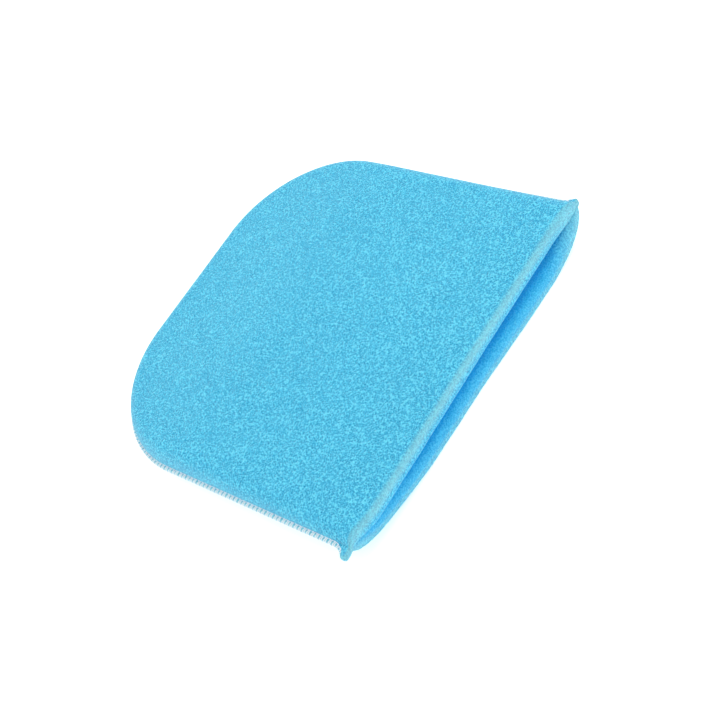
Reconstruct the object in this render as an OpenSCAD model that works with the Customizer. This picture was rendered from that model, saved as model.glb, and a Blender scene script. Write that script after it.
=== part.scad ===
// Sewn foam filter sleeve: two equal foam panels, overlocked together along the near side,
// round the closed end and along the far side, and left open at the mouth.
// X runs along the mouth, +Y from the mouth to the closed end, Z up. The origin is on the
// resting face, under the middle of the sleeve.

/* [Sleeve] */
// Width between the two sewn sides
sleeve_w = 220; // [180:1:260]
// Length from the mouth to the closed end
sleeve_l = 218; // [180:1:260]
// Radius of the two corners of the closed end
corner_r = 72; // [50:1:80]

/* [Foam] */
// Thickness of one foam panel
foam_t = 10; // [8:0.5:13]
// Height of the pocket between the panels at the mouth
mouth_gap = 6.5; // [5:0.5:12]
// Height of the pocket at the closed end
end_gap = 1; // [0.5:0.1:2]
// How far in from the mouth the pocket keeps its full height
gap_depth = 120; // [60:1:140]

/* [Edges] */
// Thickness of both panels together, squeezed in the seam
seam_t = 4.4; // [4:0.2:6]
// Width of the squeezed border that the stitches hold
border_w = 1.4; // [1:0.2:4]
// Height of the seam's middle above the resting face at the mouth
seam_mouth_z = 18.5; // [15:0.5:20]
// Height of the seam's middle above the resting face at the closed end
seam_end_z = 10; // [9:0.5:12]
// Distance over which the upper panel swells from the border to its full height
upper_round = 7.5; // [6:0.5:14]
// The same for the lower panel, away from the mouth
lower_round = 24; // [16:1:36]
// The same for the lower panel at the mouth, on the near side
lip_round_near = 76; // [30:1:90]
// The same for the lower panel at the mouth, on the far side
lip_round_far = 40; // [12:1:60]
// How gently the lower panel starts to swell at the mouth: 1 is as steep as an ellipse
lip_ease = 1.2; // [1:0.1:2]
// How far behind the upper panel's edge the lower panel's edge hangs, on the near half of the mouth
lip_back = 1.2; // [0:0.1:4]
// Distance over which it falls back, from the near corner and from the mouth's middle
lip_back_w = 45; // [20:1:80]
// How far in from the mouth the lip's own shape reaches
lip_depth = 90; // [60:1:120]
// How far the near mouth corner flares outwards
horn_out_near = 8; // [1:0.5:10]
// The same for the far mouth corner
horn_out_far = 1.5; // [1:0.5:10]
// How far the near mouth corner turns up
tip_rise_near = 1.5; // [0:0.5:4]
// The same for the far mouth corner
tip_rise_far = 3; // [0:0.5:4]
// Length of a flare along the side
horn_l = 12.5; // [8:0.5:18]
// Radius of a mouth corner's tip, seen from above
tip_r = 2.2; // [1:0.1:3]

/* [Seam] */
// Length of one stitch
stitch_pitch = 3.1; // [3:0.1:5]
// Diameter of a thread
thread_d = 0.4; // [0.3:0.05:0.5]

/* [Hidden] */

half_w = sleeve_w / 2;
half_l = sleeve_l / 2;
// The two flares differ, so the panels stand this far off-centre and the whole sleeve is centred
middle_x = (horn_out_near - horn_out_far) / 2;
seam_half = seam_t / 2;
side_l = sleeve_l - corner_r;
arc_l = corner_r * PI / 2;
end_l = sleeve_w - 2 * corner_r;
seam_l = 2 * side_l + 2 * arc_l + end_l;
// The two panels are pressed together in the seam, with this much left between them
touch_gap = 0.04;
// Distance over which one panel grows from its squeezed border to its full thickness
swell = 10;
// How quickly the seam drops from its height at the mouth
seam_drop = 1.3;
// Distances inwards from the border at which the curved profile is sampled
bulge_steps = [0, 0.4, 1.2, 2.6, 4.6, 7.4, 11, 18, 30, 46];
edge_steps = concat([0], [for (b = bulge_steps) border_w + b]);
// Angles round a corner of the closed end, up to where the last rows close it
corner_angles = [0:8:56];
end_rows = concat([border_w + 7.4, border_w + 4.6, border_w + 2.6, border_w + 1.2, border_w + 0.4],
    border_w * [1, 0.42, 0.12, 0]);
// Places along the side, as fractions of the flare and then of the straight side
flare_steps = [0, 0.15, 0.35, 0.65, 1];
side_steps = [0.12, 0.24, 0.38, 0.54, 0.74];

foam_colour = [0.35, 0.76, 0.91];
thread_colour = [0.95, 0.96, 0.98];

// ---- profile functions: y is measured from the mouth, s inwards from the seam's line ----

function clamp01(t) = min(max(t, 0), 1);
function smooth(t) = let (c = clamp01(t)) c * c * (3 - 2 * c);
function quarter_round(t) = let (c = clamp01(t)) sqrt(1 - (1 - c) * (1 - c));
function mix(a, b, t) = a + (b - a) * t;

function flare(x, y) = (x < 0 ? horn_out_near : horn_out_far) * pow(clamp01(1 - y / horn_l), 2);
function corner_half(y) =
    let (d = max(y - side_l, 0)) half_w - corner_r + sqrt(max(corner_r * corner_r - d * d, 0));
function half_width(x, y) = corner_half(y) + flare(x, y);
// Distance inwards from the seam's line, 0 on the flared tips
function inset(x, y) =
    let (past_x = abs(x) - (half_w - corner_r), past_y = y - side_l)
    max(0, past_x > 0 && past_y > 0 ? corner_r - norm([past_x, past_y]) : min(half_w - abs(x), sleeve_l - y));

// Distance inwards from the squeezed border, where the panels swell
function bulge(x, y) = max(0, inset(x, y) - border_w);

function pocket_h(y) = mix(mouth_gap, end_gap, smooth((y - gap_depth) / (sleeve_l - gap_depth)));
// 1 at a mouth corner, falling to 0 one flare's length away
function tip_share(x, y) = pow(clamp01(1 - y / horn_l) * clamp01(1 - (half_w - abs(x)) / horn_l), 2);
function seam_z(x, y) =
    mix(seam_end_z, seam_mouth_z, pow(clamp01(1 - y / sleeve_l), seam_drop))
    + (x < 0 ? tip_rise_near : tip_rise_far) * tip_share(x, y);
function lip_round(x, y) =
    mix(x < 0 ? lip_round_near : lip_round_far, lower_round, smooth(y / lip_depth));

function upper_face(x, y) =
    let (edge = seam_z(x, y) + seam_half)
    mix(edge, 2 * foam_t + pocket_h(y), quarter_round(bulge(x, y) / upper_round));
function lower_face(x, y) =
    let (ease = mix(lip_ease, 1, smooth(y / lip_depth)))
    (seam_z(x, y) - seam_half) * (1 - pow(quarter_round(bulge(x, y) / lip_round(x, y)), ease));
function panel_t(x, y) =
    min(mix(seam_half, foam_t, quarter_round(bulge(x, y) / swell)),
        (upper_face(x, y) - lower_face(x, y) - touch_gap) / 2);

// ---- foam panels ----

rows = concat(
    [for (f = flare_steps) horn_l * f],
    [for (f = side_steps) mix(horn_l, side_l, f)],
    [for (a = corner_angles) side_l + corner_r * sin(a)],
    [for (s = end_rows) sleeve_l - s]);
half_columns = concat([for (s = edge_steps) 1 - s / half_w], [0.4, 0.2, 0]);
columns = concat([for (c = half_columns) -c], [for (i = [len(half_columns) - 2:-1:0]) half_columns[i]]);

// The mouth's corners are rounded by drawing the outermost points back from the mouth
function tip_back(x, y) =
    let (past = clamp01((abs(x) - (half_width(x, 0) - tip_r)) / tip_r))
    tip_r * (1 - sqrt(1 - past * past)) * clamp01(1 - y / horn_l);
function plan(c, y) = let (x = c * half_width(c, y)) [x, y + tip_back(x, y)];

// How far the lower panel's edge falls back from the mouth
function lip_fall(x, y) =
    let (near_half = smooth((half_w + x) / lip_back_w) * smooth((lip_back_w - x) / lip_back_w))
    lip_back * near_half * (1 - smooth(y / lip_depth));

// One face of a panel as a grid of points, mouth row first
function face_points(outer, upper) = [
    for (y = rows) for (c = columns)
        let (p = plan(c, y),
             fall = upper ? 0 : lip_fall(p.x, p.y),
             face = upper ? upper_face(p.x, p.y) : lower_face(p.x, p.y),
             step = outer ? 0 : (upper ? -1 : 1) * panel_t(p.x, p.y))
        [p.x + middle_x, p.y + fall - half_l, face + step]];

// Two grids of the same size, closed round their rims into one solid
module closed_sheet(top, bottom) {
    n_c = len(columns);
    n_r = len(rows);
    n = n_c * n_r;
    faces = concat(
        [for (r = [0:n_r - 2]) for (c = [0:n_c - 2]) let (a = r * n_c + c) each
            [[a, a + n_c, a + 1], [a + 1, a + n_c, a + n_c + 1]]],
        [for (r = [0:n_r - 2]) for (c = [0:n_c - 2]) let (a = n + r * n_c + c) each
            [[a, a + 1, a + n_c], [a + 1, a + n_c + 1, a + n_c]]],
        [for (c = [0:n_c - 2]) each
            [[c, c + 1, n + c], [c + 1, n + c + 1, n + c]]],
        [for (c = [0:n_c - 2]) let (a = (n_r - 1) * n_c + c) each
            [[a, n + a, a + 1], [a + 1, n + a, n + a + 1]]],
        [for (r = [0:n_r - 2]) let (a = r * n_c) each
            [[a, n + a, a + n_c], [a + n_c, n + a, n + a + n_c]]],
        [for (r = [0:n_r - 2]) let (a = r * n_c + n_c - 1) each
            [[a, a + n_c, n + a], [a + n_c, n + a + n_c, n + a]]]);
    polyhedron(points = concat(top, bottom), faces = faces, convexity = 6);
}

module upper_foam_panel() {
    color(foam_colour)
        closed_sheet(face_points(outer = true, upper = true), face_points(outer = false, upper = true));
}

module lower_foam_panel() {
    color(foam_colour)
        closed_sheet(face_points(outer = false, upper = false), face_points(outer = true, upper = false));
}

// ---- overlock seam ----

// The seam runs from the near mouth corner, round the closed end, to the far mouth corner.
// A place on it is [x, y from the mouth, angle of the outward direction]
function near_half_place(u) =
    u < side_l ? [-half_w, u, 180]
    : u < side_l + arc_l ?
        let (a = 180 - 90 * (u - side_l) / arc_l)
        [-half_w + corner_r + corner_r * cos(a), side_l + corner_r * sin(a), a]
    : [-half_w + corner_r + u - side_l - arc_l, sleeve_l, 90];
function seam_place(u) =
    u <= seam_l / 2 ? near_half_place(u)
    : let (p = near_half_place(seam_l - u)) [-p.x, p.y, 180 - p[2]];

// A point s inside the edge (negative: outside it), lying on the upper or the lower face
function seam_point(u, s, upper, lift) =
    let (place = seam_place(u),
         out = flare(place.x, place.y) - s,
         x = place.x + out * cos(place[2]),
         y = place.y + out * sin(place[2]),
         z = upper ? upper_face(x, y) + lift : lower_face(x, y) - lift)
    [x + middle_x, y - half_l, z];
function edge_point(u) =
    let (place = seam_place(u),
         out = flare(place.x, place.y) + thread_d / 2,
         x = place.x + out * cos(place[2]),
         y = place.y + out * sin(place[2]))
    [x + middle_x, y - half_l, seam_z(place.x, place.y)];

// The seam stops just short of the two tips
seam_start = 4;
stitches = floor((seam_l - 2 * seam_start) / stitch_pitch);
function stitch_u(k) = seam_start + k * stitch_pitch;

// Places within one stitch, in stitch lengths from its needle hole: where a looper thread leaves the
// needle's line, where it goes over the face's edge, and where it turns at the seam's middle
loop_leave = 0.1;
loop_over = 0.36;
loop_turn = 0.43;
// A looper thread goes from the needle's line over the face to the edge and back, once a stitch
function looper_route(upper) = [
    for (k = [0:stitches - 1]) let (u = stitch_u(k)) each [
        seam_point(u - stitch_pitch * loop_leave, border_w, upper, thread_d / 4),
        seam_point(u + stitch_pitch * loop_leave, border_w, upper, thread_d / 4),
        seam_point(u + stitch_pitch * loop_over, 0, upper, 0),
        edge_point(u + stitch_pitch * loop_turn),
        edge_point(u + stitch_pitch * (1 - loop_turn)),
        seam_point(u + stitch_pitch * (1 - loop_over), 0, upper, 0)]];

// The needle thread lies along the upper face and dips through both panels at each stitch
hole_l = 1;
function needle_route() = [
    for (k = [0:stitches - 1]) let (u = stitch_u(k)) each [
        seam_point(u - hole_l / 2, border_w, true, thread_d / 4),
        seam_point(u, border_w, false, thread_d / 4),
        seam_point(u + hole_l / 2, border_w, true, thread_d / 4)]];

// A three-sided tube swept along a route. Its rings turn only as far as the route itself turns
thread_sides = 3;
function unit(v) = v / norm(v);
function heading(route, i) =
    let (here = route[i],
         after = i < len(route) - 1 ? unit(route[i + 1] - here) : unit(here - route[i - 1]),
         before = i > 0 ? unit(here - route[i - 1]) : after)
    unit(before + after);
function mirrored(v, across) = v - 2 * (v * across) / (across * across) * across;
function carried_side(side, route, i) =
    let (step = route[i] - route[i - 1],
         turn = heading(route, i) - mirrored(heading(route, i - 1), step))
    mirrored(mirrored(side, step), turn);
function ring_sides(route) = [
    for (i = 0, side = unit(cross(heading(route, 0), [0, 0, 1]));
         i < len(route);
         i = i + 1, side = i < len(route) ? carried_side(side, route, i) : side)
        side];
function ring(centre, side, lift) = [
    for (j = [0:thread_sides - 1])
        let (a = 90 + 360 * j / thread_sides)
        centre + thread_d / 2 * (cos(a) * side + sin(a) * lift)];

module swept_thread(route) {
    n = len(route);
    m = thread_sides;
    sides = ring_sides(route);
    points = [for (i = [0:n - 1]) each ring(route[i], sides[i], cross(sides[i], heading(route, i)))];
    faces = concat(
        [[for (j = [0:m - 1]) j]],
        [for (i = [0:n - 2]) for (j = [0:m - 1])
            let (a = i * m + j, b = i * m + (j + 1) % m) each
            [[a, a + m, b], [b, a + m, b + m]]],
        [[for (j = [m - 1:-1:0]) (n - 1) * m + j]]);
    color(thread_colour)
        polyhedron(points = points, faces = faces, convexity = 10);
}

module needle_thread() {
    swept_thread(needle_route());
}

module upper_looper_thread() {
    swept_thread(looper_route(upper = true));
}

module lower_looper_thread() {
    swept_thread(looper_route(upper = false));
}

upper_foam_panel();
lower_foam_panel();
needle_thread();
upper_looper_thread();
lower_looper_thread();
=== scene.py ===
"""Looks of the sewn foam filter sleeve: two foam panels and the three threads of their overlock seam.

Lengths are in millimetres until a mesh is made. x runs along the mouth, y from the mouth to the
closed end, z up. u runs along the seam from the near mouth corner, s inwards from the seam's line.
"""
import math
import bpy
import numpy as np
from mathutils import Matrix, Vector, kdtree, noise
from mathutils.geometry import delaunay_2d_cdt


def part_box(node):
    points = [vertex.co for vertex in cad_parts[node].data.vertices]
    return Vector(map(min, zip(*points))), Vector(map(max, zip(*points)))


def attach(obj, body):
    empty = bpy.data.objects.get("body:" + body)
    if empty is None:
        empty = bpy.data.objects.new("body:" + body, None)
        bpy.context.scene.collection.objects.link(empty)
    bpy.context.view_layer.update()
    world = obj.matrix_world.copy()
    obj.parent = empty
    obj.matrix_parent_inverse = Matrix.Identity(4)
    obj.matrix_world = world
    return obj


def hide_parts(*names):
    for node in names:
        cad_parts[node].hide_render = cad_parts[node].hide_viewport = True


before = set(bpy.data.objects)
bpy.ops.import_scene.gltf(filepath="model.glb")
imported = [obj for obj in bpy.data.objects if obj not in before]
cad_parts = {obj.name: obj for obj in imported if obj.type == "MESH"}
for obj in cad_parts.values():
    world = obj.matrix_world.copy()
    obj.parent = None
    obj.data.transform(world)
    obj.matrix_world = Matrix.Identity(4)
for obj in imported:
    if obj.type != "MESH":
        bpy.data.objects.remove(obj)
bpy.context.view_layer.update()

MM = 0.001
DETAIL = 1.0

# ---- sizes from the frame ----
upper_low, upper_high = (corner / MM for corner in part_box("upper_foam_panel"))
SLEEVE_L = upper_high.y - upper_low.y
MOUTH_Y = upper_low.y
TOP_Z = upper_high.z
HORN_OUT_NEAR = 8.0
HORN_OUT_FAR = 1.5
HALF_W = (upper_high.x - upper_low.x - HORN_OUT_NEAR - HORN_OUT_FAR) / 2
MIDDLE_X = upper_high.x - HORN_OUT_FAR - HALF_W

# ---- sizes of the design, as in the CAD ----
# Near and far are the sides at -x and +x
CORNER_R = 72.0
FOAM_T = 10.0
# The pocket's height at the mouth and at the closed end, and how far in it starts to close
MOUTH_GAP = TOP_Z - 2 * FOAM_T
END_GAP = 1.0
GAP_DEPTH = 120.0
# The border that the seam squeezes: half its thickness, and its width up to the needle line
SEAM_HALF = 2.2
BORDER_W = 1.4
# Height of the seam's middle at the mouth and at the closed end, and how it falls between them
SEAM_MOUTH_Z = 18.5
SEAM_END_Z = 10.0
SEAM_DROP = 1.3
# How far from the seam each outer face has swollen fully; the lower face's is longer at the mouth
UPPER_ROUND = 7.5
LOWER_ROUND = 24.0
LIP_ROUND_NEAR = 76.0
LIP_ROUND_FAR = 40.0
LIP_EASE = 1.2
# How far the lower panel's mouth edge draws back, over what distance from the tips, and how far in
# from the mouth the lip's form carries on
LIP_BACK = 1.2
LIP_BACK_W = 45.0
LIP_DEPTH = 90.0
# The tips: length of their flare, their rise and their rounding
HORN_L = 12.5
TIP_RISE_NEAR = 1.5
TIP_RISE_FAR = 3.0
TIP_R = 2.2
# How far from the border the foam has its full thickness, and the gap where the panels touch
SWELL = 10.0
TOUCH_GAP = 0.04
STITCH_PITCH = 3.1
SIDE_L = SLEEVE_L - CORNER_R
ARC_L = CORNER_R * math.pi / 2
END_L = 2 * HALF_W - 2 * CORNER_R
SEAM_L = 2 * SIDE_L + 2 * ARC_L + END_L

# ---- sizes of the looks ----
# How far the foam's crease at the needle line is softened
FOOT_SOFT = 0.4
# Lengths of the pale part of the mouth beside each tip, painted light where the two cuts meet
TIP_PALE_NEAR = 26.0
TIP_PALE_FAR = 45.0
# The upper panel's edge at the mouth: how far out it stands in the middle, how much further towards
# the near tip, and over what distance from a tip it comes to that
EDGE_FORWARD = 0.6
EDGE_SLANT = 2.6
EDGE_SLANT_W = 26.0

# ---- the camera, at the photograph's viewing angle ----
# AIM_RIGHT and AIM_DOWN move it across its own picture
LENS = 76.0
SENSOR_W = 36.0
CLIP_START = 10.0
AZIMUTH = math.radians(-24.3)
ELEVATION = math.radians(43.9)
ROLL = math.radians(-38.1)
DISTANCE = 821.0
AIM_RIGHT = 15.1
AIM_DOWN = 11.8
AIM = Vector((MIDDLE_X, 1.5, 10))


def add_camera():
    back = Vector((math.sin(AZIMUTH) * math.cos(ELEVATION),
                   -math.cos(AZIMUTH) * math.cos(ELEVATION),
                   math.sin(ELEVATION)))
    level = (-back).cross(Vector((0, 0, 1))).normalized()
    upright = level.cross(-back)
    right = level * math.cos(ROLL) + upright * math.sin(ROLL)
    up = upright * math.cos(ROLL) - level * math.sin(ROLL)
    place = AIM + back * DISTANCE + right * AIM_RIGHT - up * AIM_DOWN
    camera = bpy.data.objects.new("camera", bpy.data.cameras.new("camera"))
    camera.data.lens = LENS
    camera.data.sensor_width = SENSOR_W
    camera.data.clip_start = CLIP_START * MM
    matrix = camera.matrix_world.to_3x3()
    matrix.col[0], matrix.col[1], matrix.col[2] = right, up, back
    camera.matrix_world = matrix.to_4x4()
    camera.location = place * MM
    bpy.context.scene.collection.objects.link(camera)
    bpy.context.scene.camera = camera


# ---- the sleeve's form, as in the CAD ----

def smooth(t):
    c = np.clip(t, 0, 1)
    return c * c * (3 - 2 * c)


def quarter_round(t):
    c = np.clip(t, 0, 1)
    return np.sqrt(1 - (1 - c) ** 2)


def mix(a, b, t):
    return a + (b - a) * t


def flare(x, y):
    return np.where(x < 0, HORN_OUT_NEAR, HORN_OUT_FAR) * np.clip(1 - y / HORN_L, 0, 1) ** 2


def from_tips(x):
    """Distance along the mouth from the nearer tip, in lengths of that tip's pale part."""
    from_near = (HALF_W + HORN_OUT_NEAR + x) / TIP_PALE_NEAR
    from_far = (HALF_W + HORN_OUT_FAR - x) / TIP_PALE_FAR
    return np.minimum(from_near, from_far)


def inset(x, y):
    """Distance inwards from the seam's straight line, 0 on the flared tips."""
    past_x = np.abs(x) - (HALF_W - CORNER_R)
    past_y = y - SIDE_L
    in_corner = (past_x > 0) & (past_y > 0)
    from_sides = np.minimum(HALF_W - np.abs(x), SLEEVE_L - y)
    return np.maximum(np.where(in_corner, CORNER_R - np.hypot(past_x, past_y), from_sides), 0)


def bulge(x, y):
    """Distance inwards from the squeezed border, with the crease at the needle line softened."""
    past = np.maximum(inset(x, y) - BORDER_W, 0)
    return np.sqrt(past ** 2 + FOOT_SOFT ** 2) - FOOT_SOFT


def pocket_height(y):
    return mix(MOUTH_GAP, END_GAP, smooth((y - GAP_DEPTH) / (SLEEVE_L - GAP_DEPTH)))


def seam_z(x, y):
    at_tip = np.clip(1 - y / HORN_L, 0, 1) * np.clip(1 - (HALF_W - np.abs(x)) / HORN_L, 0, 1)
    rise = np.where(x < 0, TIP_RISE_NEAR, TIP_RISE_FAR) * at_tip ** 2
    return mix(SEAM_END_Z, SEAM_MOUTH_Z, np.clip(1 - y / SLEEVE_L, 0, 1) ** SEAM_DROP) + rise


def upper_face(x, y):
    edge = seam_z(x, y) + SEAM_HALF
    return mix(edge, 2 * FOAM_T + pocket_height(y), quarter_round(bulge(x, y) / UPPER_ROUND))


def lower_face(x, y):
    at_lip = np.where(x < 0, LIP_ROUND_NEAR, LIP_ROUND_FAR)
    lip_round = mix(at_lip, LOWER_ROUND, smooth(y / LIP_DEPTH))
    ease = mix(LIP_EASE, 1, smooth(y / LIP_DEPTH))
    return (seam_z(x, y) - SEAM_HALF) * (1 - quarter_round(bulge(x, y) / lip_round) ** ease)


def panel_thickness(x, y):
    full = mix(SEAM_HALF, FOAM_T, quarter_round(bulge(x, y) / SWELL))
    room = (upper_face(x, y) - lower_face(x, y) - TOUCH_GAP) / 2
    return np.minimum(full, room)


def outer_face(x, y, side):
    """Height of a panel's outer face; side is 1 for the upper panel and -1 for the lower."""
    return upper_face(x, y) if side > 0 else lower_face(x, y)


def inner_face(x, y, side):
    return outer_face(x, y, side) - side * panel_thickness(x, y)


def row_place(x, y, side):
    """A plan point in the frame's place, where each panel's edge at the mouth has its own line."""
    if side < 0:
        back = LIP_BACK * smooth((HALF_W + x) / LIP_BACK_W) * smooth((LIP_BACK_W - x) / LIP_BACK_W)
    else:
        back = (EDGE_SLANT * x / HALF_W - EDGE_FORWARD) * smooth((HALF_W - np.abs(x)) / EDGE_SLANT_W)
    return x + MIDDLE_X, y + MOUTH_Y + back * (1 - smooth(y / LIP_DEPTH))


def seam_place(u):
    """A place on the seam's line: x, y and the angle of its outward direction."""
    near = np.minimum(u, SEAM_L - u)
    angle = math.pi * (1 - 0.5 * np.clip((near - SIDE_L) / ARC_L, 0, 1))
    x = -HALF_W + CORNER_R + CORNER_R * np.cos(angle) + np.maximum(near - SIDE_L - ARC_L, 0)
    y = np.minimum(near, SIDE_L) + CORNER_R * np.sin(angle)
    far = u > SEAM_L / 2
    return np.where(far, -x, x), y, np.where(far, math.pi - angle, angle)


def beside_seam(u, s):
    """The point s inwards from the seam's flared edge."""
    x, y, angle = seam_place(u)
    out = flare(x, y) - s
    return x + out * np.cos(angle), y + out * np.sin(angle)


# ---- foam panels ----
# Spacing of a foam face's points: on the outer and the inner face, along the seam and along the mouth
GRID = 0.9 * DETAIL
INNER_GRID = 3.0
RIM_STEP = STITCH_PITCH / 5 * DETAIL
MOUTH_STEP = 0.8 * DETAIL
# Least distance between points of two kinds, as shares of those spacings
GRID_APART = 0.6
INNER_APART = 0.4
RIM_APART = 0.5
BULGE_STEPS = 12
TIP_POINTS = 9
# Blender's triangulation: faces inside the border only, and the distance at which two points are one
INSIDE_ONLY = 1
SAME_PLACE = 1e-7
# How far the foam reaches past the seam's line
EDGE_OUT = 0.4
# Radii of a panel's outer edge and inner edge, in the seam and at the mouth (1 upper, -1 lower panel)
ROUND_SEAM = 1.5
ROUND_TOUCH = 0.15
ROUND_MOUTH = {1: 3.0, -1: 1.5}
ROUND_INNER = {1: 2.5, -1: 5.0}
# Rows of the wall round the outer edge, down the cut and round the inner edge, and how much of the way
# down the wall the two rounded edges count for
OUTER_ARC = 4
CUT_ROWS = 6
INNER_ARC = 4
OUTER_SHARE = 0.3
INNER_SHARE = 0.2
# How far the mouth's edge draws back beside the near tip, and over what distance
NECK = 1.0
NECK_L = 7.0


def between(start, end, step):
    """Evenly spaced values between two ends, without the ends."""
    return np.linspace(start, end, round(abs(end - start) / step) + 1)[1:-1]


def rounded_tip(horn_out):
    """A mouth corner's rounded end, as on the far side: its points, its middle's x and its top's y."""
    lean = math.atan(2 * horn_out / HORN_L)
    top = TIP_R * (1 + math.sin(lean)) - EDGE_OUT
    middle = HALF_W + EDGE_OUT + horn_out * (1 - top / HORN_L) ** 2 - TIP_R * math.cos(lean)
    turn = np.linspace(lean, -math.pi / 2, TIP_POINTS)
    points = np.stack([middle + TIP_R * np.cos(turn), TIP_R - EDGE_OUT + TIP_R * np.sin(turn)], axis=1)
    return points, middle, top


def outline():
    """The sleeve's outline seen from above, as points from the near tip round the closed end."""
    near_tip, near_x, near_top = rounded_tip(HORN_OUT_NEAR)
    far_tip, far_x, far_top = rounded_tip(HORN_OUT_FAR)
    u = between(near_top, SEAM_L - far_top, RIM_STEP)
    edge = np.stack(beside_seam(u, -EDGE_OUT), axis=1)
    mouth_x = between(far_x, -near_x, MOUTH_STEP)
    back = NECK * smooth((near_x + mouth_x) / NECK_L) * (1 - smooth(mouth_x / HALF_W))
    mouth = np.stack([mouth_x, back - EDGE_OUT], axis=1)
    return np.concatenate([edge, far_tip, mouth, near_tip[::-1] * (-1, 1)])


def inward_normals(points):
    """Unit normals into a loop that runs clockwise."""
    along = np.roll(points, -1, axis=0) - np.roll(points, 1, axis=0)
    normals = np.stack([along[:, 1], -along[:, 0]], axis=1)
    return normals / np.linalg.norm(normals, axis=1)[:, None]


def hex_grid(step):
    rows = np.arange(0, SLEEVE_L, step * math.sqrt(3) / 2)
    columns = np.arange(-HALF_W - HORN_OUT_NEAR, HALF_W + HORN_OUT_FAR, step)
    x, y = np.meshgrid(columns, rows)
    x[1::2] += step / 2
    return np.stack([x.ravel(), y.ravel()], axis=1)


def seam_rings():
    """Rings of points along the seam, closer together where the foam swells up steeply."""
    x, y, angle = seam_place(np.arange(0, SEAM_L, RIM_STEP))
    rings = []
    for swelling in np.linspace(0, math.pi / 2, BULGE_STEPS):
        s = BORDER_W + UPPER_ROUND * (1 - math.cos(swelling))
        rings.append(np.stack([x - s * np.cos(angle), y - s * np.sin(angle)], axis=1))
    return np.concatenate(rings)


def inside_loop(points, loop):
    """Which points lie inside a closed loop, by counting its crossings on the way towards -y."""
    inside = np.zeros(len(points), bool)
    for (ax, ay), (bx, by) in zip(loop, np.roll(loop, -1, axis=0)):
        if ax == bx:
            continue
        at = (points[:, 0] >= min(ax, bx)) & (points[:, 0] < max(ax, bx))
        crossing = ay + (points[at, 0] - ax) * (by - ay) / (bx - ax)
        inside[at] ^= crossing < points[at, 1]
    return inside


def spaced(points, keep, apart):
    """Those of points that are further than apart from every kept point."""
    tree = kdtree.KDTree(len(keep))
    for i, (x, y) in enumerate(keep):
        tree.insert((x, y, 0), i)
    tree.balance()
    far = [tree.find((x, y, 0))[2] > apart for x, y in points]
    return points[np.array(far)]


def triangulated(rim, points):
    """Triangles over the rim and the points inside it, with the rim's points first."""
    everything = [Vector(p) for p in np.concatenate([rim, points])]
    border = [list(range(len(rim)))]
    found, _, faces, _, _, _ = delaunay_2d_cdt(everything, [], border, INSIDE_ONLY, SAME_PLACE)
    if len(found) != len(everything):
        raise RuntimeError("the plan of a foam face has points that coincide or edges that cross")
    plan = np.array([tuple(v) for v in found])
    faces = np.array(faces)
    a, b, c = (plan[faces[:, k]] for k in range(3))
    turned = (b[:, 0] - a[:, 0]) * (c[:, 1] - a[:, 1]) - (b[:, 1] - a[:, 1]) * (c[:, 0] - a[:, 0])
    faces[turned < 0] = faces[turned < 0][:, ::-1]
    return plan, faces


def new_object(name, points, faces):
    """A smooth-shaded mesh object from points in millimetres and a list of faces."""
    mesh = bpy.data.meshes.new(name)
    mesh.from_pydata((points * MM).tolist(), [], faces)
    mesh.update()
    mesh.shade_smooth()
    piece = bpy.data.objects.new(name, mesh)
    bpy.context.scene.collection.objects.link(piece)
    return piece


def add_point_value(piece, name, values):
    attribute = piece.data.attributes.new(name, "FLOAT", "POINT")
    attribute.data.foreach_set("value", np.asarray(values, np.float32))


# How far apart the noise is read for two seeds, in lumps along x, y and z
SEED_APART = (17.3, 5.1, 11.9)


def lumps(points, size, seed):
    """Smooth noise from -1 to 1 with lumps of one size. Each seed reads another part of the noise."""
    shift = Vector([seed * apart for apart in SEED_APART])
    return np.array([noise.noise(Vector(p) / size + shift) for p in points])


# The pale part of each panel's cut is painted light, from light that falls on the cut and comes through
# the foam. Down the cut from the outer edge (0) to the inner edge (1): how pale it is at the edge and at
# most, where it starts to grow and over what distance, and the same for its fading
PALE_EDGE = {1: 0.0, -1: 0.3}
PALE_MOST = {1: 1.0, -1: 0.65}
PALE_START = {1: 0.02, -1: 0.0}
PALE_RISE = {1: 0.26, -1: 0.5}
PALE_END = {1: 0.22, -1: 0.66}
PALE_FADE = {1: 0.6, -1: 0.3}
# How pale the cut is at the tips and the foam's trimmed edge in the seam. Both are painted light: at the
# tips it paints out the shade of the crease where the two cuts meet, in the seam the threads' shade
TIP_PALE = 0.8
SEAM_PALE = 0.9
# The pocket's deep blue is painted shade, the saturated blue that the foam turns in shadow. Where each
# cut starts to take it on, over what distance, and how far in from the mouth the pocket is quite blue
POCKET_SHADE_START = {1: 0.6, -1: 0.3}
POCKET_SHADE_RISE = {1: 0.5, -1: 0.85}
POCKET_SHADE_DEPTH = 14.0
# How far out along the near tip its pale end starts, as a share of its flare; the paleness is painted
# light
PALE_TIP_START = 0.2


# Painted light on a cut, a share of the way down it, and at the tips where the two cuts meet
def cut_light_share(side, down, open_mouth):
    rise = mix(PALE_EDGE[side], 1, smooth((down - PALE_START[side]) / PALE_RISE[side]))
    fade = 1 - smooth((down - PALE_END[side]) / PALE_FADE[side])
    return mix(TIP_PALE, PALE_MOST[side] * rise * fade, open_mouth)


# How much painted shade, as the pocket's deep blue, a cut takes a share of the way down it
def pocket_shade_share(side, down):
    return smooth((down - POCKET_SHADE_START[side]) / POCKET_SHADE_RISE[side])


def panel_rim(side):
    """The outline's points, their inward normals, how swollen the panel is there and its edges' radii."""
    loop = outline()
    swollen = np.clip((panel_thickness(*loop.T) - SEAM_HALF) / (FOAM_T - SEAM_HALF), 0, 1)
    outer_r = mix(ROUND_SEAM, ROUND_MOUTH[side], swollen)
    inner_r = mix(ROUND_TOUCH, ROUND_INNER[side], swollen ** 3)
    return loop, inward_normals(loop), swollen, outer_r, inner_r


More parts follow.
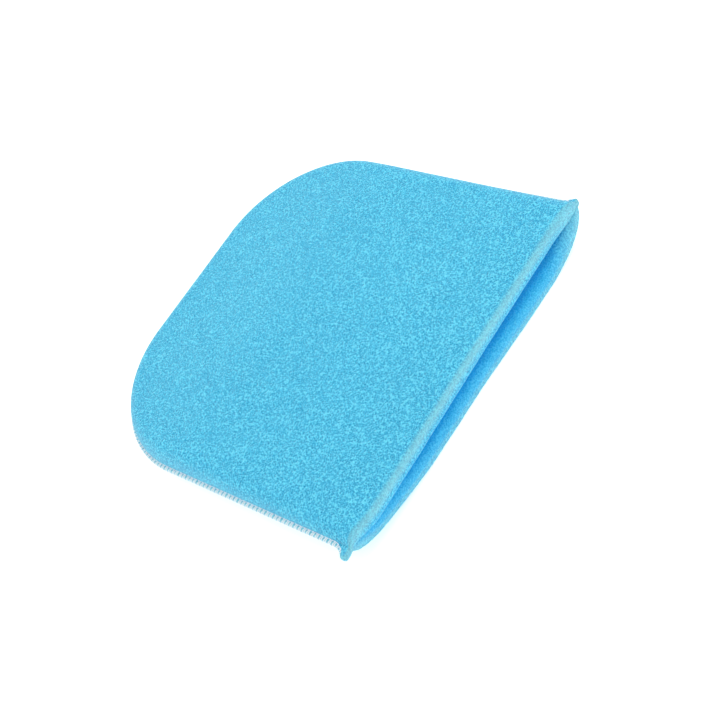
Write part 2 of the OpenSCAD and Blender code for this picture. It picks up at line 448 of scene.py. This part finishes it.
def outer_plan(rim):
    """The outer face's points and triangles, seen from above."""
    rings = seam_rings()
    grid = hex_grid(GRID)
    grid = grid[(inset(*grid.T) > BORDER_W + UPPER_ROUND) | (grid[:, 1] < HORN_L)]
    points = np.concatenate([rings, spaced(grid, rings, GRID_APART * GRID)])
    points = points[inside_loop(points, rim)]
    return triangulated(rim, spaced(points, rim, RIM_APART * RIM_STEP))


def inner_plan(rim):
    """The inner face's points and triangles, seen from above."""
    grid = hex_grid(INNER_GRID)
    grid = grid[inside_loop(grid, rim)]
    return triangulated(rim, spaced(grid, rim, INNER_APART * INNER_GRID))


def wall_rows(z_out, z_in, outer_r, inner_r, side):
    """Rows from the outer face's rim round the outer edge, down the cut and round the inner edge.

    Each row is its distance inwards from the outline, its height, and how far down the wall it is.
    """
    rows = []
    for turn in np.linspace(0, math.pi / 2, OUTER_ARC + 1)[1:]:
        height = z_out - side * outer_r * (1 - math.cos(turn))
        rows.append((outer_r * (1 - math.sin(turn)), height, OUTER_SHARE * math.sin(turn)))
    start, end = rows[-1][1], z_in + side * inner_r
    for share in np.linspace(0, 1, CUT_ROWS + 1)[1:]:
        down = mix(OUTER_SHARE, 1 - INNER_SHARE, share)
        rows.append((np.zeros_like(start), mix(start, end, share), down))
    for turn in np.linspace(0, math.pi / 2, INNER_ARC + 1)[1:-1]:
        height = end - side * inner_r * math.sin(turn)
        rows.append((inner_r * (1 - math.cos(turn)), height, 1 - INNER_SHARE * math.cos(turn)))
    return rows


def panel_faces(top_faces, under_faces, first_wall, first_under, rim_count, side):
    """A panel's two faces and the wall that joins their rims row by row, all as triangles."""
    starts = [0, *range(first_wall, first_under, rim_count), first_under]
    here = np.arange(rim_count)
    there = np.roll(here, -1)
    faces = [top_faces, under_faces[:, ::-1] + first_under]
    for a, b in zip(starts[:-1], starts[1:]):
        faces.append(np.stack([a + here, a + there, b + there], axis=1))
        faces.append(np.stack([a + here, b + there, b + here], axis=1))
    faces = np.concatenate(faces)
    return faces[:, ::-1] if side < 0 else faces


def cut_light_and_pocket_shade(points, rows, loop, swollen, first_wall, side):
    """For each point, how much painted light it takes as a pale cut and how much painted shade as the
    pocket's deep blue.

    Near the tips the two cuts meet, so both are painted pale there and neither takes the painted blue.
    """
    first_under = first_wall + len(loop) * len(rows)
    wall = slice(first_wall, first_under)
    under = slice(first_under, len(points))
    x, y = points[:, 0], points[:, 1]
    open_mouth = smooth(from_tips(loop[:, 0])) * (loop[:, 1] < HORN_L)
    # Painted light: the cut's pale share, the seam's trimmed edge and the tips
    cut = np.zeros(len(points))
    cut[wall] = np.concatenate([cut_light_share(side, down, open_mouth) for _, _, down in rows])
    cut[wall] = mix(SEAM_PALE, cut[wall], np.tile(swollen, len(rows)))
    # The near tip's end painted pale, as painted light
    cut = np.maximum(cut, smooth((np.abs(x) - HALF_W) / HORN_OUT_NEAR - PALE_TIP_START))
    # The pocket's painted shade, which also sets its painted glow
    inside = np.zeros(len(points))
    inside[wall] = np.concatenate([pocket_shade_share(side, down) * open_mouth for _, _, down in rows])
    inwards = mix(pocket_shade_share(side, 1.0), 1, smooth(y[under] / POCKET_SHADE_DEPTH))
    inside[under] = inwards * smooth(from_tips(x[under]))
    return cut, inside


def foam_panel(name, side):
    """A foam panel as one closed mesh; side is 1 for the upper panel and -1 for the lower."""
    loop, normals, swollen, outer_r, inner_r = panel_rim(side)
    top_plan, top_faces = outer_plan(loop + normals * outer_r[:, None])
    under_plan, under_faces = inner_plan(loop + normals * inner_r[:, None])
    top = np.column_stack([top_plan, outer_face(*top_plan.T, side)])
    under = np.column_stack([under_plan, inner_face(*under_plan.T, side)])
    rows = wall_rows(top[:len(loop), 2], under[:len(loop), 2], outer_r, inner_r, side)
    wall = [np.column_stack([loop + normals * step[:, None], height]) for step, height, _ in rows]
    points = np.concatenate([top, *wall, under])
    first_under = len(points) - len(under)
    faces = panel_faces(top_faces, under_faces, len(top), first_under, len(loop), side)
    cut, inside = cut_light_and_pocket_shade(points, rows, loop, swollen, len(top), side)
    points[:, 0], points[:, 1] = row_place(points[:, 0], points[:, 1], side)
    piece = new_object(name, points, faces.tolist())
    # The masks of the cut's painted light and of the pocket's painted shade and glow
    add_point_value(piece, "cut", cut)
    add_point_value(piece, "inside", inside)
    roughen(piece, side)
    return piece


# Surface noise: the cell lumps' size, their depth all over and on a cut, and what share of it is left
# where the foam is squeezed
LUMP = 1.0
LUMP_DEPTH = 0.12
CUT_DEPTH = 0.25
SQUEEZED_SHARE = 0.35
LUMP_SEED = 3
# The slow wave
WAVE = 16.0
WAVE_DEPTH = 0.15
WAVE_SEED = 7


def roughen(piece, side):
    """Moves the foam's surface in and out a little: cell lumps all over, rougher on the bare cut."""
    mesh = piece.data
    count = len(mesh.vertices)
    co = np.zeros(count * 3)
    mesh.vertices.foreach_get("co", co)
    co = co.reshape(-1, 3) / MM
    direction = np.zeros(count * 3)
    mesh.vertex_normals.foreach_get("vector", direction)
    direction = direction.reshape(-1, 3)
    cut = np.zeros(count)
    mesh.attributes["cut"].data.foreach_get("value", cut)
    loose = smooth((inset(co[:, 0] - MIDDLE_X, co[:, 1] - MOUTH_Y) - BORDER_W) / SWELL)
    depth = mix(LUMP_DEPTH, CUT_DEPTH, cut) * mix(SQUEEZED_SHARE, 1, np.maximum(loose, cut))
    move = depth * lumps(co, LUMP, LUMP_SEED + side)
    move += WAVE_DEPTH * loose * lumps(co, WAVE, WAVE_SEED + side)
    co += direction * move[:, None]
    co[:, 2] = np.maximum(co[:, 2], 0)
    mesh.vertices.foreach_set("co", (co * MM).ravel())
    mesh.update()


# ---- the seam's threads ----
THREAD_R = 0.28
THREAD_SIDES = 8
RING_STEP = 0.22 * DETAIL
# Points of the smooth line for each step of a thread's route
ROUTE_SPLIT = 8
# The two-ply twist: its length, and its depth as a share of the thread's radius
TWIST_PITCH = 1.3
TWIST_DEPTH = 0.16
# Length of plain seam before the first stitch
SEAM_START = 4.0
STITCHES = int((SEAM_L - 2 * SEAM_START) / STITCH_PITCH)
# The needle line, along the border's rounded section from the seam's middle, and how deep a stitch sinks
NEEDLE_W = SEAM_HALF - ROUND_SEAM + ROUND_SEAM * math.pi / 2 + BORDER_W + EDGE_OUT - ROUND_SEAM
NEEDLE_SINK = 1.2
# Places within one needle stitch: how far along it, and how far off the foam
NEEDLE_STEPS = ((0.0, -NEEDLE_SINK), (0.25, -0.15), (0.5, 0.0), (0.75, -0.15))
# Places within one looper stitch: how far along it, how far in from the edge as a share of the needle
# line's, and how far off the foam. The looper slants out to the edge, runs along it, slants back and
# goes on under the needle thread
LOOPER_STEPS = (
    (0.0, 1.0, 0.0), (0.26, 0.55, 0.15), (0.54, 0.12, 0.12), (0.7, -0.03, 0.1), (0.88, -0.03, 0.1),
    (0.91, 0.12, 0.12), (0.63, 0.55, 0.15), (0.37, 1.0, 0.0), (0.7, 1.0, -0.5))
# How much stitches differ in place, as a share of the pitch, and in reach, and for each the noise's step
# from stitch to stitch and the line it is read on
UNEVEN_U = 0.1
UNEVEN_W = 0.16
UNEVEN_U_STEP = 0.7
UNEVEN_W_STEP = 0.9
UNEVEN_U_LINE = 3.1
UNEVEN_W_LINE = 8.3


def border_point(u, w, side, lift):
    """A point on the border's rounded section, w along it from the seam's middle, lifted off the foam."""
    arc = ROUND_SEAM * math.pi / 2
    straight = SEAM_HALF - ROUND_SEAM
    turn = np.clip((w - straight) / ROUND_SEAM, 0, math.pi / 2)
    flat = np.maximum(w - straight - arc, 0)
    s = ROUND_SEAM * (1 - np.cos(turn)) + flat - lift * np.cos(turn) - EDGE_OUT
    height = np.minimum(w, straight) + ROUND_SEAM * np.sin(turn) + lift * np.sin(turn)
    x, y, _ = seam_place(u)
    middle = seam_z(x, y)
    x, y = row_place(*beside_seam(u, s), side)
    return np.stack([x, y, middle + side * height], axis=-1)


def rounded_route(points, step):
    """A smooth line through points, sampled at even distances."""
    p = np.concatenate([points[:1], points, points[-1:]])
    t = np.linspace(0, 1, ROUTE_SPLIT + 1)[:-1, None]
    pieces = []
    for a, b, c, d in zip(p[:-3], p[1:-2], p[2:-1], p[3:]):
        pieces.append(0.5 * (2 * b + (c - a) * t + (2 * a - 5 * b + 4 * c - d) * t ** 2
                             + (3 * b - a - 3 * c + d) * t ** 3))
    line = np.concatenate(pieces)
    gone = np.concatenate([[0], np.cumsum(np.linalg.norm(np.diff(line, axis=0), axis=1))])
    at = np.arange(0, gone[-1], step)
    return np.stack([np.interp(at, gone, line[:, k]) for k in range(3)], axis=1)


def carried_along(route):
    """Two directions across a route, carried along it so that they don't turn about it."""
    heading = np.gradient(route, axis=0)
    heading /= np.linalg.norm(heading, axis=1)[:, None]
    side = np.zeros_like(heading)
    side[0] = np.cross(heading[0], (0, 0, 1))
    side[0] /= np.linalg.norm(side[0])
    for i in range(1, len(route)):
        carried = side[i - 1] - heading[i] * side[i - 1].dot(heading[i])
        side[i] = carried / np.linalg.norm(carried)
    return side, np.cross(heading, side)


def tube_faces(ring_count):
    """A closed tube's quads from ring to ring, and its two ends."""
    first = np.arange(ring_count - 1)[:, None] * THREAD_SIDES
    corner = np.arange(THREAD_SIDES)[None, :]
    a = (first + corner).ravel()
    b = (first + (corner + 1) % THREAD_SIDES).ravel()
    faces = np.stack([a, b, b + THREAD_SIDES, a + THREAD_SIDES], axis=1).tolist()
    faces.append(list(range(THREAD_SIDES))[::-1])
    faces.append([(ring_count - 1) * THREAD_SIDES + j for j in range(THREAD_SIDES)])
    return faces


def thread(name, points):
    """A two-ply thread swept along a route."""
    route = rounded_route(points, RING_STEP)
    side, lift = carried_along(route)
    angle = np.linspace(0, 2 * math.pi, THREAD_SIDES, endpoint=False)
    twist = 2 * math.pi * np.arange(len(route)) * RING_STEP / TWIST_PITCH
    radius = THREAD_R * (1 + TWIST_DEPTH * np.cos(2 * (angle[None, :] - twist[:, None])))
    sideways = side[:, None, :] * np.cos(angle)[None, :, None]
    across = sideways + lift[:, None, :] * np.sin(angle)[None, :, None]
    rings = route[:, None, :] + radius[:, :, None] * across
    return new_object(name, rings.reshape(-1, 3), tube_faces(len(route)))


def looper_route(side):
    """A looper thread's route; side is 1 over the top of the edge and -1 under it."""
    points = []
    for k in range(STITCHES):
        shift = UNEVEN_U * noise.noise((k * UNEVEN_U_STEP, UNEVEN_U_LINE, side))
        reach = 1 + UNEVEN_W * noise.noise((k * UNEVEN_W_STEP, UNEVEN_W_LINE, side))
        for along, across, lift in LOOPER_STEPS:
            u = SEAM_START + (k + along + shift) * STITCH_PITCH
            points.append(border_point(u, across * reach * NEEDLE_W, side, lift))
    return np.array(points)


def needle_route():
    """The needle thread: along the top of the border, dipping into the foam at each stitch."""
    points = []
    for k in range(STITCHES):
        u = SEAM_START + k * STITCH_PITCH
        for along, lift in NEEDLE_STEPS:
            points.append(border_point(u + along * STITCH_PITCH, NEEDLE_W, 1, lift))
    return np.array(points)


# ---- materials ----

def node_material(name):
    material = bpy.data.materials.new(name)
    material.use_nodes = True
    return material, material.node_tree, material.node_tree.nodes["Principled BSDF"]


def link(tree, source, target):
    tree.links.new(source, target)


def textured(tree, kind, feature, **settings):
    """A noise or Voronoi texture in object space, with features of a size in millimetres."""
    place = tree.nodes.new("ShaderNodeTexCoord")
    texture = tree.nodes.new(kind)
    set_inputs(texture, {"Scale": 1 / (feature * MM), **settings})
    link(tree, place.outputs["Object"], texture.inputs["Vector"])
    return texture


def ramp(tree, source, stops):
    node = tree.nodes.new("ShaderNodeValToRGB")
    while len(node.color_ramp.elements) < len(stops):
        node.color_ramp.elements.new(0.5)
    for element, (place, colour) in zip(node.color_ramp.elements, stops):
        element.position = place
        element.color = (*colour, 1)
    link(tree, source, node.inputs["Fac"])
    return node.outputs["Color"]


def blended(tree, factor, first, second, mode="MIX"):
    node = tree.nodes.new("ShaderNodeMix")
    node.data_type = "RGBA"
    node.blend_type = mode
    if isinstance(factor, float):
        node.inputs["Factor"].default_value = factor
    else:
        link(tree, factor, node.inputs["Factor"])
    for socket, value in ((node.inputs["A"], first), (node.inputs["B"], second)):
        if isinstance(value, tuple):
            socket.default_value = (*value, 1)
        else:
            link(tree, value, socket)
    return node.outputs["Result"]


def set_inputs(node, values):
    for name, value in values.items():
        node.inputs[name].default_value = value


def rough_between(tree, shader, source, low, high):
    """Lets the shader's roughness follow a texture between two values."""
    rough = tree.nodes.new("ShaderNodeMapRange")
    set_inputs(rough, {"To Min": low, "To Max": high})
    link(tree, source, rough.inputs["Value"])
    link(tree, rough.outputs["Result"], shader.inputs["Roughness"])


def bumped(tree, height, strength, distance, under=None):
    """The surface's direction after a bump of a depth in millimetres, laid over another one if given."""
    node = tree.nodes.new("ShaderNodeBump")
    set_inputs(node, {"Strength": strength, "Distance": distance * MM})
    link(tree, height, node.inputs["Height"])
    if under is not None:
        link(tree, under, node.inputs["Normal"])
    return node.outputs["Normal"]


def point_value(tree, name):
    node = tree.nodes.new("ShaderNodeAttribute")
    node.attribute_name = name
    return node.outputs["Fac"]


def srgb(red, green, blue):
    """A linear colour from the 0 to 255 values that a screen shows."""
    def linear(value):
        v = value / 255
        return v / 12.92 if v <= 0.04045 else ((v + 0.055) / 1.055) ** 2.4
    return linear(red), linear(green), linear(blue)


# Sizes of the foam's speckle, its pores and the slow drift of its colour
SPECKLE = 0.42
PORE = 0.95
DRIFT = 45.0
# Their colours from dark to light, each with the texture's value that it stands for
SPECKLE_STOPS = ((0.41, srgb(10, 131, 187)), (0.5, srgb(60, 185, 228)), (0.59, srgb(116, 230, 254)))
PORE_STOPS = ((0.24, srgb(6, 129, 183)), (0.5, srgb(60, 185, 228)), (0.7, srgb(118, 231, 254)))
DRIFT_STOPS = ((0.3, (0.95, 0.97, 0.98)), (0.7, (1.0, 1.0, 1.0)))
PORE_SHARE = 0.6
# Painted light on the bare cut and painted shade in the pocket: their colours, and how much of the foam's
# own colour they cover
CUT_LIGHT_COLOUR = srgb(148, 206, 212)
CUT_LIGHT_COVER = 0.55
POCKET_SHADE_COLOUR = srgb(26, 160, 214)
POCKET_SHADE_COVER = 0.75
# Light that comes through the foam and glows in the pocket
GLOW_COLOUR = srgb(10, 150, 215)
GLOW = 0.25
FOAM_ROUGH = (0.85, 1.0)
# Strength and depth of each bump
PORE_BUMP = (0.6, 0.5)
SPECKLE_BUMP = (0.5, 1.0)
FOAM_SHADER = {
    "Specular IOR Level": 0.2,
    "Sheen Weight": 0.4,
    "Sheen Roughness": 0.35,
    "Sheen Tint": (0.9, 0.97, 1.0, 1.0),
    "Subsurface Weight": 0.25,
    "Subsurface Radius": (0.3, 0.8, 1.0),
    "Subsurface Scale": 4.0 * MM,
}


def foam_colour(tree, speckle, pores):
    """The foam's speckled blue, paler on a cut with painted light and deeper in the pocket with painted
    shade.
    """
    drift = textured(tree, "ShaderNodeTexNoise", DRIFT, Detail=2.0)
    specks = ramp(tree, speckle, SPECKLE_STOPS)
    cells = ramp(tree, pores, PORE_STOPS)
    base = blended(tree, PORE_SHARE, specks, cells)
    base = blended(tree, 1.0, base, ramp(tree, drift.outputs["Fac"], DRIFT_STOPS), "MULTIPLY")
    # The cut's painted light
    cut = blended(tree, CUT_LIGHT_COVER, base, CUT_LIGHT_COLOUR)
    base = blended(tree, point_value(tree, "cut"), base, cut)
    # The pocket's painted shade
    pocket = blended(tree, POCKET_SHADE_COVER, base, POCKET_SHADE_COLOUR)
    return blended(tree, point_value(tree, "inside"), base, pocket)


def foam_material():
    material, tree, shader = node_material("foam")
    speckle = textured(tree, "ShaderNodeTexNoise", SPECKLE, Detail=0.0).outputs["Fac"]
    pores = textured(tree, "ShaderNodeTexVoronoi", PORE, Randomness=1.0).outputs["Distance"]
    link(tree, foam_colour(tree, speckle, pores), shader.inputs["Base Color"])
    rough_between(tree, shader, speckle, *FOAM_ROUGH)
    fine = bumped(tree, pores, *PORE_BUMP)
    link(tree, bumped(tree, speckle, *SPECKLE_BUMP, under=fine), shader.inputs["Normal"])
    # The pocket glows with painted light where it has painted shade
    link(tree, point_value(tree, "inside"), shader.inputs["Emission Strength"])
    shader.inputs["Emission Color"].default_value = (*(GLOW * c for c in GLOW_COLOUR), 1)
    set_inputs(shader, FOAM_SHADER)
    return material


FIBRE = 0.25
FIBRE_STOPS = ((0.3, srgb(222, 234, 242)), (0.7, srgb(250, 254, 255)))
THREAD_ROUGH = (0.45, 0.7)
FIBRE_BUMP = (0.4, 0.05)
THREAD_SHADER = {"Sheen Weight": 0.3, "Sheen Roughness": 0.4}


def thread_material():
    material, tree, shader = node_material("thread")
    fibres = textured(tree, "ShaderNodeTexNoise", FIBRE, Detail=2.0).outputs["Fac"]
    link(tree, ramp(tree, fibres, FIBRE_STOPS), shader.inputs["Base Color"])
    rough_between(tree, shader, fibres, *THREAD_ROUGH)
    link(tree, bumped(tree, fibres, *FIBRE_BUMP), shader.inputs["Normal"])
    set_inputs(shader, THREAD_SHADER)
    return material


# ---- the studio ----

# The floor is just below the sleeve, so that the two never show through each other
FLOOR_HALF = 20000.0
FLOOR_Z = -0.3
FLOOR_SHADER = {
    "Base Color": (0.9, 0.9, 0.9, 1),
    "Roughness": 0.9,
    "Emission Color": (1, 1, 1, 1),
    "Emission Strength": 0.5,
}
SKY = {"Color": (1, 1, 1, 1), "Strength": 1.0}
# Name, azimuth and elevation in degrees, distance, size, and power in watts
LIGHTS = (("key", 60.0, 60.0, 1200.0, 700.0, 1.8), ("fill", 150.0, 50.0, 1300.0, 900.0, 1.8))


def add_floor():
    corners = [(x * FLOOR_HALF, y * FLOOR_HALF, FLOOR_Z) for x, y in ((-1, -1), (1, -1), (1, 1), (-1, 1))]
    floor = new_object("floor", np.array(corners), [[0, 1, 2, 3]])
    material, _, shader = node_material("floor")
    set_inputs(shader, FLOOR_SHADER)
    floor.data.materials.append(material)


def add_light(name, azimuth, elevation, distance, size, power):
    """A soft square light aimed at the sleeve."""
    data = bpy.data.lights.new(name, "AREA")
    data.size = size * MM
    data.energy = power
    lamp = bpy.data.objects.new(name, data)
    a, e = math.radians(azimuth), math.radians(elevation)
    back = Vector((math.sin(a) * math.cos(e), -math.cos(a) * math.cos(e), math.sin(e)))
    lamp.rotation_euler = back.to_track_quat("Z", "Y").to_euler()
    lamp.location = back * distance * MM
    bpy.context.scene.collection.objects.link(lamp)


def add_studio():
    world = bpy.data.worlds.new("world")
    world.use_nodes = True
    set_inputs(world.node_tree.nodes["Background"], SKY)
    bpy.context.scene.world = world
    for light in LIGHTS:
        add_light(*light)
    add_floor()
    bpy.context.scene.view_settings.view_transform = "Standard"


add_camera()
add_studio()

foam = foam_material()
for name, side in (("upper", 1), ("lower", -1)):
    panel = foam_panel(name + "_foam", side)
    panel.data.materials.append(foam)
    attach(panel, "root")
    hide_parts(name + "_foam_panel")

white = thread_material()
for name, route in (("needle_thread", needle_route()),
                    ("upper_looper_thread", looper_route(1)),
                    ("lower_looper_thread", looper_route(-1))):
    strand = thread("sewn_" + name, route)
    strand.data.materials.append(white)
    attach(strand, "root")
    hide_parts(name)
